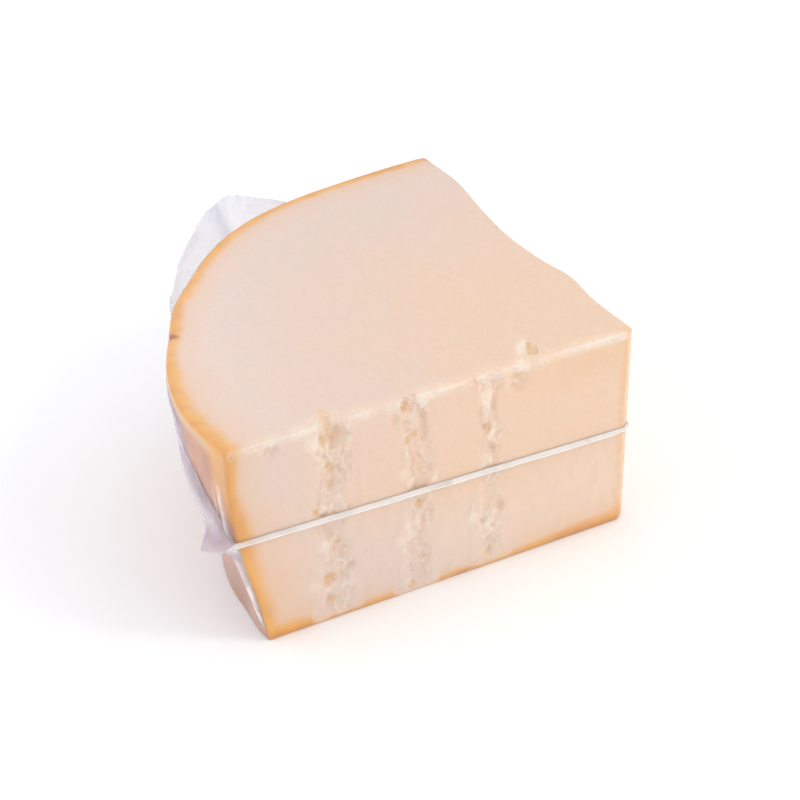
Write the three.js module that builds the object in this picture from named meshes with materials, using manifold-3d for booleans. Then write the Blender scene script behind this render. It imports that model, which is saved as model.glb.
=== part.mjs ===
// A block of hard grating cheese in clear shrink film: about a quarter of a big wheel, cut through at half
// its height. Units are millimetres and +Z is up. While it is built, the wheel's axis is the block's tip at
// x = y = 0, the front cut face lies along -X in the plane y = 0, the split face runs back along +Y, and the
// rind joins their far ends.
import Module from "manifold-3d";
import * as THREE from "three";
import { mergeVertices } from "three/addons/utils/BufferGeometryUtils.js";

// Driving dimensions of the wheel and the block
const wheelRadius = 205;
const blockHeight = 105; // half the height of the wheel, so the top is a cut face
const cutAngle = THREE.MathUtils.degToRad(92.7);
const rindLean = 16; // how far the rind comes in from the top edge to the bottom
const rindLeanPower = 1.35; // above 1, the rind is steeper at the top, as half of a bulging wheel is
const heelInset = 3.6; // the rounded heel, where the rind turns under
const rimDrift = 1.5; // how much further from the tip the rim's far end is than its front end
const tipRadius = 3;
const topRoundSplit = 1.8;
const topRoundRind = 1.6;
const bottomRound = 1.4;

// How round the worn top edge of the front face is: [distance from the tip, radius]
const topRoundFront = [
  [0, 6.5],
  [42, 6],
  [57, 2],
  [68, 4],
  [104, 5.5],
  [118, 2],
  [136, 5],
  [158, 6],
  [205, 3],
];

// Slow unevenness of the rim, as half waves along its arc: [number of half waves, height]
const rimWaves = [
  [1, 7.4],
  [2, 1.3],
  [4, 2.5],
];

// Crumbly bands where the knife dragged: place along the face from the tip, width and depth
const frontBands = [
  { at: 76, width: 10, depth: 2.2 },
  { at: 113.5, width: 12, depth: 2.8 },
  { at: 156, width: 14, depth: 3.6 },
];
const splitBands = [
  { at: 68, width: 12, depth: 2.6 },
  { at: 130, width: 15, depth: 3.2 },
];
const crumb = { across: 3.1, down: 4.3 }; // size of a crumb in a band
const bandWander = { sideways: 3, length: 17 };
const bandFade = 8; // height above the bottom over which a band dies out, as the rind holds the crumbs
const splitBandTopFade = 14; // the top edge of the split face stayed whole

// Bites out of the top edge of the front face: place along the face, drop below the top, radius and depth
const frontChips = [
  { at: 55, drop: 0, radius: 6, depth: 4 },
  { at: 62, drop: 9, radius: 8, depth: 1.8 },
  { at: 118, drop: 3, radius: 6, depth: 2.6 },
  { at: 156, drop: 6, radius: 9, depth: 3 },
  { at: 185, drop: 5, radius: 6, depth: 2 },
];

// A crumb that broke out of the top behind the front edge: its middle, half sizes and roughness
const topPit = { along: 53, behind: 8, halfAcross: 4.6, halfBack: 5.2, depth: 3.4, roughness: 0.3 };
const pitCrumb = 0.7; // size of the pit's own lumps, as a share of its half sizes

// The split face swings in and out as it runs back: [distance from the tip, push outwards, reach]
const splitSwings = [
  [0, 1.7, 20],
  [57, 2.6, 14],
  [108, -4.1, 36],
  [174, 2.2, 20],
];

// Film: the weld runs round the block near half its height, and its trimmed edge stands out as a fin
const filmGap = 0.35;
const finThickness = 1;
const finWidth = 1.5;
const pressedWidth = 0.5; // where the fin lies flat, at the tip and along the rind
const finRoot = 0.5;
const webHeight = 2.2; // how far up and down the film bridges the corner between the fin and the cheese
const weldHeightAtTip = 52;
const weldHeightAtRind = 57.5;
const finTaper = 16; // the fin rises to its full width over this distance from the tip

// Ears of spare film on the fin. Places are shares of the rim's arc, from 0 at the front corner.
const cornerEar = { from: -0.03, peak: 0.02, to: 0.085, width: 13.5, web: 9 };
const standingEar = {
  from: 0.42,
  full: 0.53,
  climb: 0.475, // where its edge begins to rise
  peak: 0.68,
  gather: 0.83, // where it begins to draw in again
  to: 0.95,
  width: 24,
  rise: 53,
  fall: 0.88, // share of the rise that is lost from the peak to the end
};
const farEar = { from: 0.93, peak: 1, to: 1.05, width: 6, web: 4 };
const webStart = 0.02; // an ear's web lies on the rind only, so it starts this far from a cut face

// Fineness of the mesh
const wallStep = 5.2;
const topLevels = [6.5, 4, 2.2, 0.9, 0]; // drops below the top, close together for the rounded edges
const columnStep = 22;
const bandColumnStep = 2.2;
const leastColumnStep = 7; // a plain column keeps this far from those of bands and chips
const rimSteps = 36;
const filmRimSteps = 44;
const filmCornerSteps = 4; // sections for each step of the rim near the ears at the corners
const finSteps = 5;
const tipSteps = 3;
const pitDetail = 2;

const wasm = await Module();
wasm.setup();

const clamp01 = (value) => Math.min(1, Math.max(0, value));
const smooth = (value) => clamp01(value) ** 2 * (3 - 2 * clamp01(value));
const mix = (a, b, share) => a + (b - a) * share;

// A repeatable number from 0 to 1 for each pair of whole numbers
function lattice(i, j) {
  const wave = Math.sin(i * 127.1 + j * 311.7) * 43758.5453;
  return wave - Math.floor(wave);
}

// Smooth lumps from 0 to 1, one lattice cell per unit
function lumps(u, v) {
  const i = Math.floor(u);
  const j = Math.floor(v);
  const a = smooth(u - i);
  const b = smooth(v - j);
  return mix(mix(lattice(i, j), lattice(i + 1, j), a), mix(lattice(i, j + 1), lattice(i + 1, j + 1), a), b);
}

// How deep the crumbly bands bite into a cut face at a distance from the tip and a height
function bandDepth(bands, along, z) {
  let depth = 0;
  for (const band of bands) {
    const wander = bandWander.sideways * (lumps(band.at, z / bandWander.length) - 0.5);
    const share = 1 - Math.abs(along - band.at - wander) / (band.width / 2);
    const crumbs = 0.25 + 0.75 * lumps(along / crumb.across + band.at, z / crumb.down);
    depth += band.depth * smooth(share * 1.6) * crumbs;
  }
  return depth * smooth(z / bandFade);
}

function chipDepth(along, z) {
  let depth = 0;
  for (const chip of frontChips) {
    const away = Math.hypot(along - chip.at, blockHeight - z - chip.drop) / chip.radius;
    depth += chip.depth * smooth(1 - away);
  }
  return depth;
}

// How far a rounded edge of the given radius steps back at a distance from the edge's own face
function roundInset(fromEdge, radius) {
  if (fromEdge >= radius) return 0;
  return radius - Math.sqrt(radius ** 2 - (radius - fromEdge) ** 2);
}

const edgeInset = (z, topRound) => roundInset(blockHeight - z, topRound) + roundInset(z, bottomRound);

// The value at a place in a list of [place, value] pairs, with straight lines between them
function valueAt(pairs, place) {
  const after = pairs.findIndex(([at]) => at >= place);
  if (after === 0) return pairs[0][1];
  if (after < 0) return pairs.at(-1)[1];
  const [[a, low], [b, high]] = [pairs[after - 1], pairs[after]];
  return mix(low, high, (place - a) / (b - a));
}

// The front face stands in the plane y = 0, and this is how far it lies behind that plane
function frontInset(along, z) {
  const edge = edgeInset(z, valueAt(topRoundFront, along));
  return edge + bandDepth(frontBands, along, z) + chipDepth(along, z);
}

function splitInset(along, z) {
  const bands = bandDepth(splitBands, along, z) * smooth((blockHeight - z) / splitBandTopFade);
  return edgeInset(z, topRoundSplit) + bands;
}

function splitSwing(along) {
  let push = 0;
  for (const [at, height, reach] of splitSwings) {
    push += height * Math.exp(-(((along - at) / reach) ** 2));
  }
  return push;
}

function rimRadius(share) {
  let radius = wheelRadius + rimDrift * share;
  for (const [halfWaves, height] of rimWaves) {
    radius += height * Math.sin(halfWaves * Math.PI * share);
  }
  return radius;
}

function rimInset(share, z) {
  const down = clamp01(1 - z / blockHeight);
  const heel = heelInset * smooth((down - 0.6) / 0.4) * smooth(share / 0.2);
  return rindLean * down ** rindLeanPower + heel;
}

// Points on the block's faces, by their distance from the tip or their share of the rim's arc. An inset
// moves a point into the block, and a negative one out of it, which is how the film's fin follows the block.
function frontPoint(along, z, inset) {
  return new THREE.Vector3(-along, inset, z);
}

function splitPoint(along, z, inset) {
  const lean = Math.tan(cutAngle - Math.PI / 2);
  return new THREE.Vector3(along * lean + splitSwing(along) - inset, along, z);
}

function rimPoint(share, z, inset) {
  const angle = share * cutAngle;
  const radius = rimRadius(clamp01(share)) - inset;
  return new THREE.Vector3(-radius * Math.cos(angle), radius * Math.sin(angle), z);
}

function tipPoint(turn, z, frontStep, splitStep) {
  const angle = (turn * Math.PI) / 2;
  const x = tipRadius * (Math.sin(angle) - 1) - splitStep * Math.sin(angle);
  const y = tipRadius * (1 - Math.cos(angle)) + frontStep * Math.cos(angle);
  return new THREE.Vector3(x, y, z);
}

// Distances from the tip at which a cut face gets a column of vertices: close together in the bands and
// chips, and wide apart between them. The last one stays clear of the leaning rind.
function faceColumns(bands, chips) {
  const columns = new Set([tipRadius]);
  for (const band of bands) {
    const steps = Math.ceil(band.width / bandColumnStep);
    for (let i = 0; i <= steps; i++) columns.add(band.at + band.width * (i / steps - 0.5));
  }
  for (const chip of chips) {
    const crowded = bands.some((band) => Math.abs(band.at - chip.at) < band.width);
    for (const side of crowded ? [] : [-0.5, 0, 0.5]) columns.add(chip.at + side * chip.radius);
  }
  const end = wheelRadius - rindLean - leastColumnStep;
  for (let along = columnStep; along < end; along += columnStep) {
    const near = [...columns].some((column) => Math.abs(column - along) < leastColumnStep);
    if (!near) columns.add(along);
  }
  return [...columns].filter((along) => along < end).sort((a, b) => a - b);
}

const frontColumns = faceColumns(frontBands, frontChips);
const splitColumns = faceColumns(splitBands, []);

function heights() {
  const nearBottom = [0, bottomRound * 0.3, bottomRound];
  const nearTop = topLevels.map((drop) => blockHeight - drop);
  const steps = Math.round((nearTop[0] - bottomRound) / wallStep);
  const wall = Array.from({ length: steps - 1 }, (_, i) => mix(bottomRound, nearTop[0], (i + 1) / steps));
  return [...nearBottom, ...wall, ...nearTop];
}

// One closed outline of the cheese, anticlockwise from above: along the front face to the tip, along the
// split face to the rind, and round the rim
function cheeseRing(z) {
  const rindEdge = edgeInset(z, topRoundRind);
  const frontEnd = wheelRadius - rimInset(0, z) - rindEdge;
  const lastColumn = mix(frontColumns.at(-1), frontEnd, 0.5);
  const front = [lastColumn, ...frontColumns.toReversed()].map((along) =>
    frontPoint(along, z, frontInset(along, z)),
  );
  const tip = [];
  for (let i = 1; i < tipSteps; i++) {
    tip.push(tipPoint(i / tipSteps, z, frontInset(tipRadius, z), splitInset(tipRadius, z)));
  }
  const split = splitColumns.map((along) => splitPoint(along, z, splitInset(along, z)));
  const firstShare = Math.asin(frontInset(frontEnd, z) / frontEnd) / cutAngle;
  const lastShare = 1 - splitInset(frontEnd, z) / frontEnd / cutAngle;
  const rim = [];
  for (let i = 0; i <= rimSteps; i++) {
    const share = mix(lastShare, firstShare, i / rimSteps);
    rim.push(rimPoint(share, z, rimInset(share, z) + rindEdge));
  }
  return [...front, ...tip, ...split, ...rim];
}

function geometryFrom(points, triangles) {
  const geometry = new THREE.BufferGeometry().setFromPoints(points);
  geometry.setIndex(triangles);
  return geometry;
}

// A closed solid from rings stacked bottom to top, each anticlockwise from above, with flat caps
function stackedSolid(rings) {
  const count = rings[0].length;
  const triangles = [];
  for (let level = 0; level + 1 < rings.length; level++) {
    for (let i = 0; i < count; i++) {
      const next = (i + 1) % count;
      const [a, b] = [level * count + i, level * count + next];
      triangles.push(a, b, b + count, a, b + count, a + count);
    }
  }
  const flat = (ring) => ring.map((point) => new THREE.Vector2(point.x, point.y));
  const topStart = (rings.length - 1) * count;
  for (const [a, b, c] of THREE.ShapeUtils.triangulateShape(flat(rings[0]), [])) {
    triangles.push(a, c, b);
  }
  for (const [a, b, c] of THREE.ShapeUtils.triangulateShape(flat(rings.at(-1)), [])) {
    triangles.push(topStart + a, topStart + b, topStart + c);
  }
  return geometryFrom(rings.flat(), triangles);
}

// A closed ring-shaped solid from sections that follow each other round a loop
function loopedSolid(sections) {
  const count = sections[0].length;
  const triangles = [];
  sections.forEach((_, at) => {
    const after = (at + 1) % sections.length;
    for (let i = 0; i < count; i++) {
      const next = (i + 1) % count;
      const [a, b] = [at * count + i, at * count + next];
      const [c, d] = [after * count + i, after * count + next];
      triangles.push(a, d, c, a, b, d);
    }
  });
  return geometryFrom(sections.flat(), triangles);
}

function toSolid(geometry) {
  const merged = mergeVertices(geometry);
  const vertProperties = merged.attributes.position.array;
  const triVerts = Uint32Array.from(merged.index.array);
  return new wasm.Manifold(new wasm.Mesh({ numProp: 3, vertProperties, triVerts }));
}

function toGeometry(solid) {
  const { vertProperties, triVerts } = solid.getMesh();
  const geometry = new THREE.BufferGeometry();
  geometry.setAttribute("position", new THREE.BufferAttribute(vertProperties, 3));
  geometry.setIndex(new THREE.BufferAttribute(triVerts, 1));
  return geometry;
}

// The lump that is missing where the crumb broke out of the top
function pitLump() {
  const lump = new THREE.IcosahedronGeometry(1, pitDetail);
  lump.deleteAttribute("normal");
  lump.deleteAttribute("uv");
  const places = lump.attributes.position;
  const point = new THREE.Vector3();
  for (let i = 0; i < places.count; i++) {
    point.fromBufferAttribute(places, i);
    const rough = lumps((point.x + point.z) / pitCrumb, (point.y - point.z) / pitCrumb) - 0.5;
    point.multiplyScalar(1 + topPit.roughness * rough);
    places.setXYZ(i, point.x, point.y, point.z);
  }
  lump.scale(topPit.halfAcross, topPit.halfBack, topPit.depth);
  lump.translate(-topPit.along, topPit.behind, blockHeight);
  return lump;
}

// From 0 outside the span to 1 at the peak
function hump(share, span) {
  if (share <= span.peak) return smooth((share - span.from) / (span.peak - span.from));
  return smooth((span.to - share) / (span.to - span.peak));
}

// The fin on a cut face, which lies flat at the tip
function faceFin(along) {
  return { width: mix(pressedWidth, finWidth, smooth(along / finTaper)), rise: 0, web: webHeight };
}

// The fin round the rim: how wide it is, how high its edge stands and how far its web reaches up
function rimFin(share) {
  const { from, full, climb, peak, gather, to, fall } = standingEar;
  const drawnIn = smooth((to - share) / (to - gather));
  const spread = smooth((share - from) / (full - from)) * drawnIn;
  const climbed = Math.sin((clamp01((share - climb) / (peak - climb)) * Math.PI) / 2);
  const fallen = fall * clamp01((share - peak) / (to - peak));
  const [corner, far] = [hump(share, cornerEar), hump(share, farEar)];
  const offCutFaces = smooth(share / webStart) * smooth((1 - share) / webStart);
  return {
    width: pressedWidth + cornerEar.width * corner + farEar.width * far + standingEar.width * spread,
    rise: standingEar.rise * climbed * (1 - fallen) * drawnIn,
    web: webHeight + (cornerEar.web * corner + farEar.web * far) * offCutFaces,
  };
}

// One section of the film's fin. place(z, offset) gives the point that far off the block's own face.
// Its root lies along the cheese, and its blade leaves level and curls up to its rise.
function finSection(place, weldHeight, { width, rise, web }) {
  const middle = [];
  for (let i = 0; i <= finSteps; i++) {
    const turn = ((i / finSteps) * Math.PI) / 2;
    const out = filmGap + finRoot + width * Math.sin(turn);
    middle.push(new THREE.Vector2(out, rise * (1 - Math.cos(turn))));
  }
  const sides = [1, -1].map((side) =>
    middle.map((point, i) => {
      const before = middle[Math.max(0, i - 1)];
      const after = middle[Math.min(finSteps, i + 1)];
      const along = after.clone().sub(before).normalize();
      return new THREE.Vector2(-along.y, along.x).multiplyScalar((side * finThickness) / 2).add(point);
    }),
  );
  const blade = [...sides[0], ...sides[1].reverse()];
  const onBlade = ({ x: out, y: up }) => {
    const point = place(weldHeight, out);
    point.z = weldHeight + up;
    return point;
  };
  const rootLow = place(weldHeight - webHeight, filmGap);
  const rootHigh = place(weldHeight + web, filmGap);
  return [rootHigh, ...blade.map(onBlade), rootLow];
}

// Shares of the rim at which the film gets a section, from the far corner to the front one
function filmShares() {
  const shares = [];
  for (let i = 0; i <= filmRimSteps; i++) {
    shares.push(i / filmRimSteps);
    const nearCorner = i < 4 || i > filmRimSteps - 3;
    for (let j = 1; nearCorner && i < filmRimSteps && j < filmCornerSteps; j++) {
      shares.push((i + j / filmCornerSteps) / filmRimSteps);
    }
  }
  return shares.reverse();
}

function filmSections() {
  const weldAt = (along) => mix(weldHeightAtTip, weldHeightAtRind, along / wheelRadius);
  const front = frontColumns.toReversed().map((along) => {
    const place = (z, off) => frontPoint(along, z, -off);
    return finSection(place, weldAt(along), faceFin(along));
  });
  const tip = [];
  for (let i = 1; i < tipSteps; i++) {
    const place = (z, off) => tipPoint(i / tipSteps, z, -off, -off);
    tip.push(finSection(place, weldHeightAtTip, faceFin(0)));
  }
  const split = splitColumns.map((along) => {
    const place = (z, off) => splitPoint(along, z, -off);
    return finSection(place, weldAt(along), faceFin(along));
  });
  const rim = filmShares().map((share) => {
    const place = (z, off) => {
      const point = rimPoint(share, z, rimInset(share, z) - off);
      const pastFace = Math.min(off, filmGap + finRoot + finWidth);
      if (share === 0) point.y -= pastFace;
      if (share === 1) point.x += pastFace;
      return point;
    };
    return finSection(place, weldHeightAtRind, rimFin(share));
  });
  return [...front, ...tip, ...split, ...rim];
}

function makeCheese() {
  const material = new THREE.MeshStandardMaterial({ color: 0xf0d9c2, roughness: 0.55, metalness: 0 });
  const block = toSolid(stackedSolid(heights().map(cheeseRing)));
  const cheese = new THREE.Mesh(toGeometry(block.subtract(toSolid(pitLump()))), material);
  cheese.name = "cheese";
  return cheese;
}

function makeFilm() {
  const material = new THREE.MeshStandardMaterial({
    color: 0xe9e8f2,
    roughness: 0.2,
    metalness: 0,
    transparent: true,
    opacity: 0.35,
  });
  const film = new THREE.Mesh(loopedSolid(filmSections()), material);
  film.name = "film";
  return film;
}

// The part's own frame: its origin is under the middle of its box, on the surface it stands on
const part = new THREE.Group();
part.add(makeCheese(), makeFilm());
const box = new THREE.Box3().setFromObject(part, true);
const middle = box.getCenter(new THREE.Vector3());
for (const mesh of part.children) mesh.position.set(-middle.x, -middle.y, -box.min.z);

export default part;
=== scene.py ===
"""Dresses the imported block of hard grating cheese: the cut block with crumbly faces and a golden rind, the
clear film drawn tight round it, and the film's welded edge with its spare ears."""

import math

import bpy
import numpy as np
from mathutils import Matrix, Vector
from mathutils.geometry import delaunay_2d_cdt


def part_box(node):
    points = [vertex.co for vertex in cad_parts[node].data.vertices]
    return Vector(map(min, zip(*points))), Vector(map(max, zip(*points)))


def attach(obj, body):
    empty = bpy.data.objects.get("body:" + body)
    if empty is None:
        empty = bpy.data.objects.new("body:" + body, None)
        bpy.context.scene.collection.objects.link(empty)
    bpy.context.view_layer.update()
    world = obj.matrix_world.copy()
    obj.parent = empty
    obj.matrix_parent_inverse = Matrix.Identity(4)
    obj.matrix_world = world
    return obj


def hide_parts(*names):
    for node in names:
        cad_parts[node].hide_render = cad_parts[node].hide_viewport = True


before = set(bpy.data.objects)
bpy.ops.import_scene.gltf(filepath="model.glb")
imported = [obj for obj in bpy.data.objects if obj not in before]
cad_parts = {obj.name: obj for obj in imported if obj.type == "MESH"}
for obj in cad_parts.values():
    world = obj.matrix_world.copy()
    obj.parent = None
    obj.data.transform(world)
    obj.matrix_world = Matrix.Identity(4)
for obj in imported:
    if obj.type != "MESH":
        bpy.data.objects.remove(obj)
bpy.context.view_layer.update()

# The block's own sizes, in millimetres, in the frame of its wheel: the wheel's axis is the block's tip at
# x = y = 0, the front cut face lies along -X in the plane y = 0, the split face runs back along +Y, and the
# rind joins their far ends.
MM = 0.001
WHEEL_RADIUS = 205.0
BLOCK_HEIGHT = 105.0
CUT_ANGLE = math.radians(92.7)
RIND_LEAN = 16.0
RIND_LEAN_POWER = 1.35
HEEL_INSET = 3.6
WAIST_INSET, WAIST_TOP = 5.0, 56.0
CORNER_BOW, CORNER_BOW_AT, CORNER_BOW_REACH = 2.8, 64.0, 31.0
RIM_DRIFT = 1.5
RIM_WAVES = ((1, 7.4), (2, 1.3), (4, 2.5))
RIM_BULGE, RIM_BULGE_AT, RIM_BULGE_REACH = 2.2, 128.0, 20.0
TIP_RADIUS = 3.0
TOP_ROUND_SPLIT = 1.8
TOP_ROUND_RIND = 1.6
BOTTOM_ROUND = 1.4
TOP_ROUND_FRONT = (
    (0, 2.4), (18, 6.2), (42, 6), (57, 2), (68, 4), (104, 5.5), (118, 2), (136, 5), (158, 6), (205, 3),
)
SPLIT_SWINGS = ((0, 1.7, 20), (57, 2.6, 14), (108, -4.1, 36), (174, 2.2, 20))

# Crumbly bands on the cut faces: place from the tip, width and depth
FRONT_BANDS = ((76, 10, 2.2), (113.5, 12, 2.8), (156, 14, 3.6))
SPLIT_BANDS = ((68, 12, 2.6), (130, 15, 3.2))
CRUMB_ACROSS, CRUMB_DOWN = 3.1, 4.3
WANDER_SIDEWAYS, WANDER_LENGTH = 3.0, 17.0
BAND_FADE = 8.0
SPLIT_BAND_TOP_FADE = 14.0

# Bites out of the top edge of the front face: place, drop below the top, radius and depth
FRONT_CHIPS = ((55, 0, 6, 4), (62, 9, 8, 1.8), (118, 3, 6, 2.6), (156, 6, 9, 3), (185, 5, 6, 2))

# The crumb that broke out of the top: its place along the front face and behind it, turn, half sizes and
# depth, how rough its edge and its floor are, and how far round it the mesh is fine
PIT_ALONG, PIT_BEHIND, PIT_TURN = 50.0, 9.0, math.radians(29.3)
PIT_HALF_ACROSS, PIT_HALF_BACK, PIT_DEPTH = 4.5, 7.4, 1.7
PIT_ROUGHNESS, PIT_CRUMB = 0.3, 0.7
PIT_FACETS, PIT_FACET_SIZE = 0.35, 1.7
PIT_SURROUND = 1.6

# The film's weld and ears
FILM_GAP, FOOT_GAP = 0.35, 0.18
FIN_WIDTH, PRESSED_WIDTH, FIN_ROOT = 1.2, 0.4, 0.5
WEB_HEIGHT = 1.3
WELD_AT_TIP, WELD_AT_RIND = 52.0, 57.5
FIN_TAPER = 16.0
FAR_EAR = {"from": 0.93, "peak": 1.0, "to": 1.05, "width": 6.0, "web": 4.0}
STANDING_EAR = {
    "from": 0.447, "full": 0.53, "climb": 0.475, "peak": 0.68, "gather": 0.83, "to": 0.95,
    "width": 24.0, "rise": 53.0, "fall": 0.88,
}
WEB_START = 0.02

# What the looks add to the solid: finer edges, crumbs and a clear layer of film
CORNER_ROUND = 1.2
CORNER_SHARE = 1 - math.sqrt(0.5)
UNDERSIDE_CLEAR = 0.25
FILM_CLEAR, SOFT_CLEAR = 0.3, 0.2
BRIDGED_SHARE = 0.22
WORN_EDGE_REACH, WORN_EDGE_RELIEF = 9.0, 0.45
TOP_SWELL, TOP_SWELL_LENGTH = 0.3, 46.0
RIND_RELIEF, SCAR_DEPTH = 0.3, 0.45

# Painted light on the paste: how much warmer the cut faces are painted than the top, for the warmer light on
# them, how much cooler and paler the front face is painted low down, where less warm light reaches, and how
# strongly a painted warm glow lies along the upright edge, beside it at the top, and low on the left
FACE_PAINTED_WARMTH, LOW_PAINTED_COOLNESS, LOW_PAINTED_PALENESS = 0.12, 0.42, 0.2
TIP_GLOW, TOP_GLOW, LOW_LEFT_GLOW = 0.45, 0.22, 0.14

# Where these painted tones of the front face grow or fade, along it and up it, and the rind's tones round the
# rim, up it and down from the top, among them the painted highlight on its shoulder and the painted shade low
# on
# its heel: each an edge and a reach. GOLDEN_SHARE is how much of the outer rind's tone the golden corner
# takes away.
TIP_GLOW_ALONG = (7.5, 4)
TOP_GLOW_ALONG, TOP_GLOW_UP = (75, 50), (76, 20)
LOW_LEFT_ALONG, LOW_LEFT_UP = (160, 14), (52, 22)
LOW_PALE_ALONG, LOW_PALE_UP = (140, 50), (50, 20)
LOW_COOL_ALONG, LOW_COOL_UP = (168, 20), (58, 40)
GOLDEN_ARC, GOLDEN_DROP, GOLDEN_SHARE = (16, 8), (42, 20), 0.92
OUTER_DROP, SHOULDER_HIGHLIGHT_DROP, HEEL_SHADE_UP = (0.4, 1.8), (8.5, 6.5), (46, 34)

# The torn bands reach further towards the tip than towards the rim, their edges are ragged, and their crumbs
# have three sizes: width, height and relief
GENTLE_REACH, STEEP_REACH = 1.5, 1.05
RAGGED, RAGGED_ACROSS, RAGGED_DOWN = 1.0, 4.2, 6.5
BAND_EASE = 0.66
CRUMB_SIZES = ((6.2, 8.0, 0.42), (3.1, 4.0, 0.4), (1.5, 1.9, 0.24))
FRONT_SEED, SPLIT_SEED = 1, 21

# Spots in and near the front bands: place, height, radius, depth (below 0 for a flake) and tone, from -1 for
# pale to 1 for ochre
FRONT_SPOTS = (
    (156, 102, 4.0, 2.0, 1.0), (159.6, 95, 3.5, 1.2, 0.4), (156, 81, 3.5, 1.2, 0.3),
    (156.8, 72, 3.2, 1.0, 0.2), (163, 60.7, 3.0, 1.2, 0.6), (158, 62, 2.8, 1.0, 0.6),
    (150.2, 35, 3.5, 1.0, 0.2), (147.9, 27, 3.5, 0.9, 0.3), (158, 21.4, 4.2, 1.6, 1.0),
    (157.4, 11, 3.5, 1.0, 0.4), (164.4, 96.5, 6.0, -0.6, -0.9), (159.8, 71, 3.0, -0.7, -0.5),
    (153, 65, 3.0, -0.7, -0.6), (160, 41, 4.5, -0.8, -0.7), (149, 16, 4.5, -0.7, -0.7),
    (165.7, 21, 4.0, -0.4, -0.5), (183.6, 100.8, 3.0, 0.7, 0.3), (118.9, 101.2, 3.6, 1.7, 0.9),
    (124.4, 96.3, 3.5, 0.8, 0.2), (113.9, 85.7, 2.8, 1.0, 0.8), (117.9, 83.3, 3.0, 0.9, 0.4),
    (111.9, 47, 3.0, 1.1, 0.4), (107.7, 16, 3.0, 1.1, 0.3), (116, 4, 3.4, 0.9, 0.6),
    (109.9, 101.5, 4.0, -1.1, -0.9), (115, 95, 3.5, -0.6, -0.6), (119.6, 66, 4.0, -0.6, -0.5),
    (120.6, 30, 4.5, -0.6, -0.6), (84.5, 102, 3.5, 0.7, 0.2), (76.8, 76.8, 3.2, 1.1, 0.4),
    (69.4, 32, 3.0, 1.1, 0.2), (75.4, 7.7, 3.2, 1.0, 0.6), (62.2, 100.5, 3.6, 0.9, 0.5),
    (78, 93, 4.5, -0.7, -0.7), (83.6, 30, 4.0, -0.4, -0.6), (59, 104, 3.4, -0.5, -1.0),
)

# Painted glints in the film over the front face, laid on as milky streaks: place, lowest and highest point,
# half width and milkiness
FRONT_PAINTED_GLINTS = (
    (159.7, 62, 84, 2.6, 0.16), (153.0, 52, 80, 2.8, 0.18), (160.0, 30, 50, 4.2, 0.18),
    (149.0, 5, 26, 4.4, 0.16), (165.7, 10, 34, 4.2, 0.14), (144.4, 55, 100, 2.6, 0.07),
    (164.4, 90, 102, 5.0, 0.18), (120.6, 2, 56, 3.6, 0.17), (114.9, 84, 105, 3.0, 0.14),
    (119.5, 54, 82, 3.0, 0.11), (110.0, 96, 105, 3.4, 0.26), (77.6, 76, 103, 3.6, 0.16),
    (83.6, 6, 50, 4.4, 0.16), (73.0, 32, 56, 3.0, 0.08),
)

# Where a painted highlight runs along the worn top edge of the front face, paling the cheese and making the
# film
# milkier: places and strength
EDGE_SHINE = (
    (0, 0.6), (12, 0.8), (30, 0.6), (40, 0.4), (50, 0.5), (58, 0.8), (66, 0.5), (74, 0.6), (88, 0.3),
    (98, 0.65), (108, 0.9), (114, 0.3), (125, 0.7), (131, 0.35), (138, 0.8), (147, 0.35), (158, 0.7),
    (170, 0.95), (176, 0.35), (183, 0.85), (188, 0.6), (193, 0.9), (200, 0.45),
)
EDGE_SHINE_MIDDLE, EDGE_SHINE_REACH, EDGE_HAZE = 2.2, 3.4, 0.5

# The film's skin on the rim: its folds as lines of arc from the front corner and height, each with its half
# width, how far it stands off and how milky it is, the milk painting a highlight along the fold, and milky
# patches beside the weld and on the side, the side's partly milky film and partly painted sheen
SKIN_OUT = 0.3
RIM_FOLDS = (
    (((4.0, 60), (4.6, 74), (7.0, 90)), 4.2, 1.4, 0.5),
    (((7.5, 57), (5.0, 44), (2.5, 28), (1.0, 12)), 5.5, 1.2, 0.35),
    (((2.4, 44), (1.4, 24), (0.5, 4)), 3.2, 1.2, 0.5),
    (((62, 82), (44, 79.5), (33, 78), (28, 71), (26, 64)), 2.8, 0.25, 0.5),
    (((78, 98), (60, 94), (36, 90)), 2.0, 0.5, 0.25),
    (((12, 62), (12.5, 74), (12, 86)), 2.4, 0.3, 0.35),
    (((20, 60), (21, 66), (22, 70)), 2.6, 0.25, 0.25),
)
FURTHER_FOLDS, FURTHER_FROM, FURTHER_TO = 24, 74.0, 325.0
FOLD_PARTS = (0.0, 0.4, 0.7, 1.0)
# Streaks of painted sheen in the film round the rim
RIM_SHEEN_STREAKS = 0.16
PATCH_TO, PATCH_FOOT, PATCH_HAZE = 66.0, 40.0, 0.2
LOW_PATCH_FOOT, LOW_PATCH_CLIMB, LOW_PATCH_TO, LOW_PATCH_HAZE = 5.0, 1.25, 44.0, 0.3
SIDE_SHEEN_HAZE, SIDE_HAZE_ARCS, SIDE_HAZE_HEIGHTS = 0.62, (34.0, 98.0), (52.0, 102.0)
RIM_HAZE, BAND_HAZE, BELOW_WELD_HAZE, MOST_HAZE = 0.02, 0.05, 0.09, 0.75

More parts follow.
